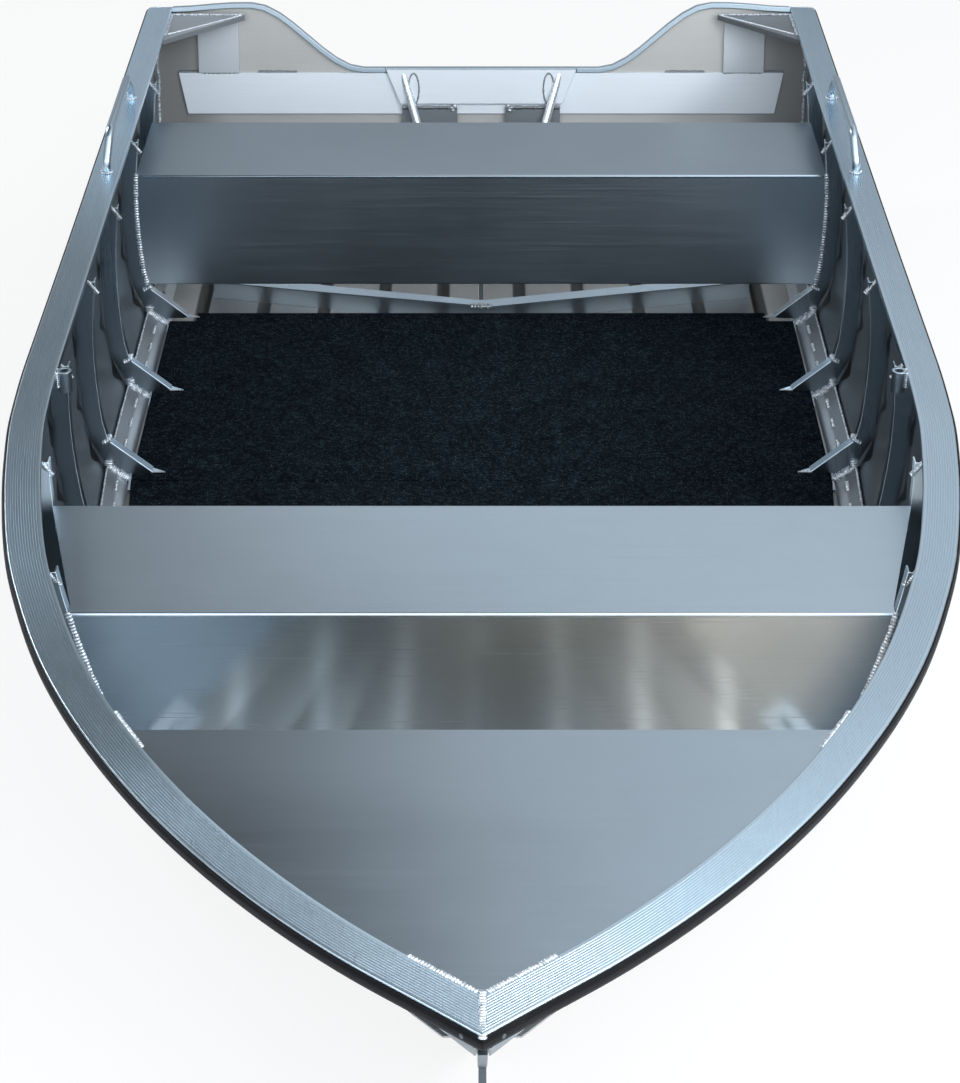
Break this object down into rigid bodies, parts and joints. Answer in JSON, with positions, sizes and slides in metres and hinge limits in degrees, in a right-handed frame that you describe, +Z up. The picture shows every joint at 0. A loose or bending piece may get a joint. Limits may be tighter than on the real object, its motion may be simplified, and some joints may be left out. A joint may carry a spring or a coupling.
{
  "type": "open aluminium dinghy",
  "caption": "Open welded aluminium dinghy with pressed hull sheets, thwarts, foredeck, carpeted floor, side frames with knees, outboard transom, grab handles and bow eye.",
  "frame": {"origin": "on the centreline amidships, at the waterline of the empty boat afloat", "axes": "-Y forwards over the bow, +Y aft over the transom, +X to port, +Z up"},
  "size_m": [1.6374, 3.8051, 0.654],
  "materials": {
    "rail_and_thwart": "satin, lengthwise grain",
    "hull_sheet": "mill, half reflective",
    "welded_fittings": "bright",
    "fender": "matt black",
    "carpet": "short looped pile"
  },
  "bodies": {
    "root": {"bow_eye": "welded_fittings", "brace_port": "welded_fittings", "brace_starboard": "welded_fittings", "chine_bar_port": "welded_fittings", "chine_bar_starboard": "welded_fittings", "doubler": "welded_fittings", "engine_pad_inner": "welded_fittings", "engine_pad_outer": "welded_fittings", "engine_pad_strip": "rail_and_thwart", "fender_port": "fender", "fender_starboard": "fender", "floor_frame_1": "welded_fittings", "floor_frame_2": "welded_fittings", "floor_frame_3": "welded_fittings", "floor_frame_4": "welded_fittings", "floor_frame_5": "welded_fittings", "floor_frame_6": "welded_fittings", "floor_frame_aft": "welded_fittings", "floor_panel_forward": "carpet", "floor_panel_main": "carpet", "foredeck": "rail_and_thwart", "grab_handle_port": "welded_fittings", "grab_handle_starboard": "welded_fittings", "gunwale_port": "rail_and_thwart", "gunwale_starboard": "rail_and_thwart", "gusset_port": "rail_and_thwart", "gusset_starboard": "rail_and_thwart", "hull_bottom_port": "hull_sheet", "hull_bottom_starboard": "hull_sheet", "hull_side_port": "hull_sheet", "hull_side_starboard": "hull_sheet", "keel_and_stem": "hull_sheet", "rowlock_port": "welded_fittings", "rowlock_starboard": "welded_fittings", "side_frame_port_0": "hull_sheet", "side_frame_port_1": "hull_sheet", "side_frame_port_2": "hull_sheet", "side_frame_port_3": "hull_sheet", "side_frame_port_4": "hull_sheet", "side_frame_port_5": "hull_sheet", "side_frame_port_6": "hull_sheet", "side_frame_starboard_0": "hull_sheet", "side_frame_starboard_1": "hull_sheet", "side_frame_starboard_2": "hull_sheet", "side_frame_starboard_3": "hull_sheet", "side_frame_starboard_4": "hull_sheet", "side_frame_starboard_5": "hull_sheet", "side_frame_starboard_6": "hull_sheet", "stiffener_port": "welded_fittings", "stiffener_starboard": "welded_fittings", "thwart_aft": "rail_and_thwart", "thwart_forward": "rail_and_thwart", "transom": "hull_sheet", "transom_cap_port": "rail_and_thwart", "transom_cap_starboard": "rail_and_thwart", "well_bracket_port": "hull_sheet", "well_bracket_starboard": "hull_sheet"}
  },
  "joints": []
}
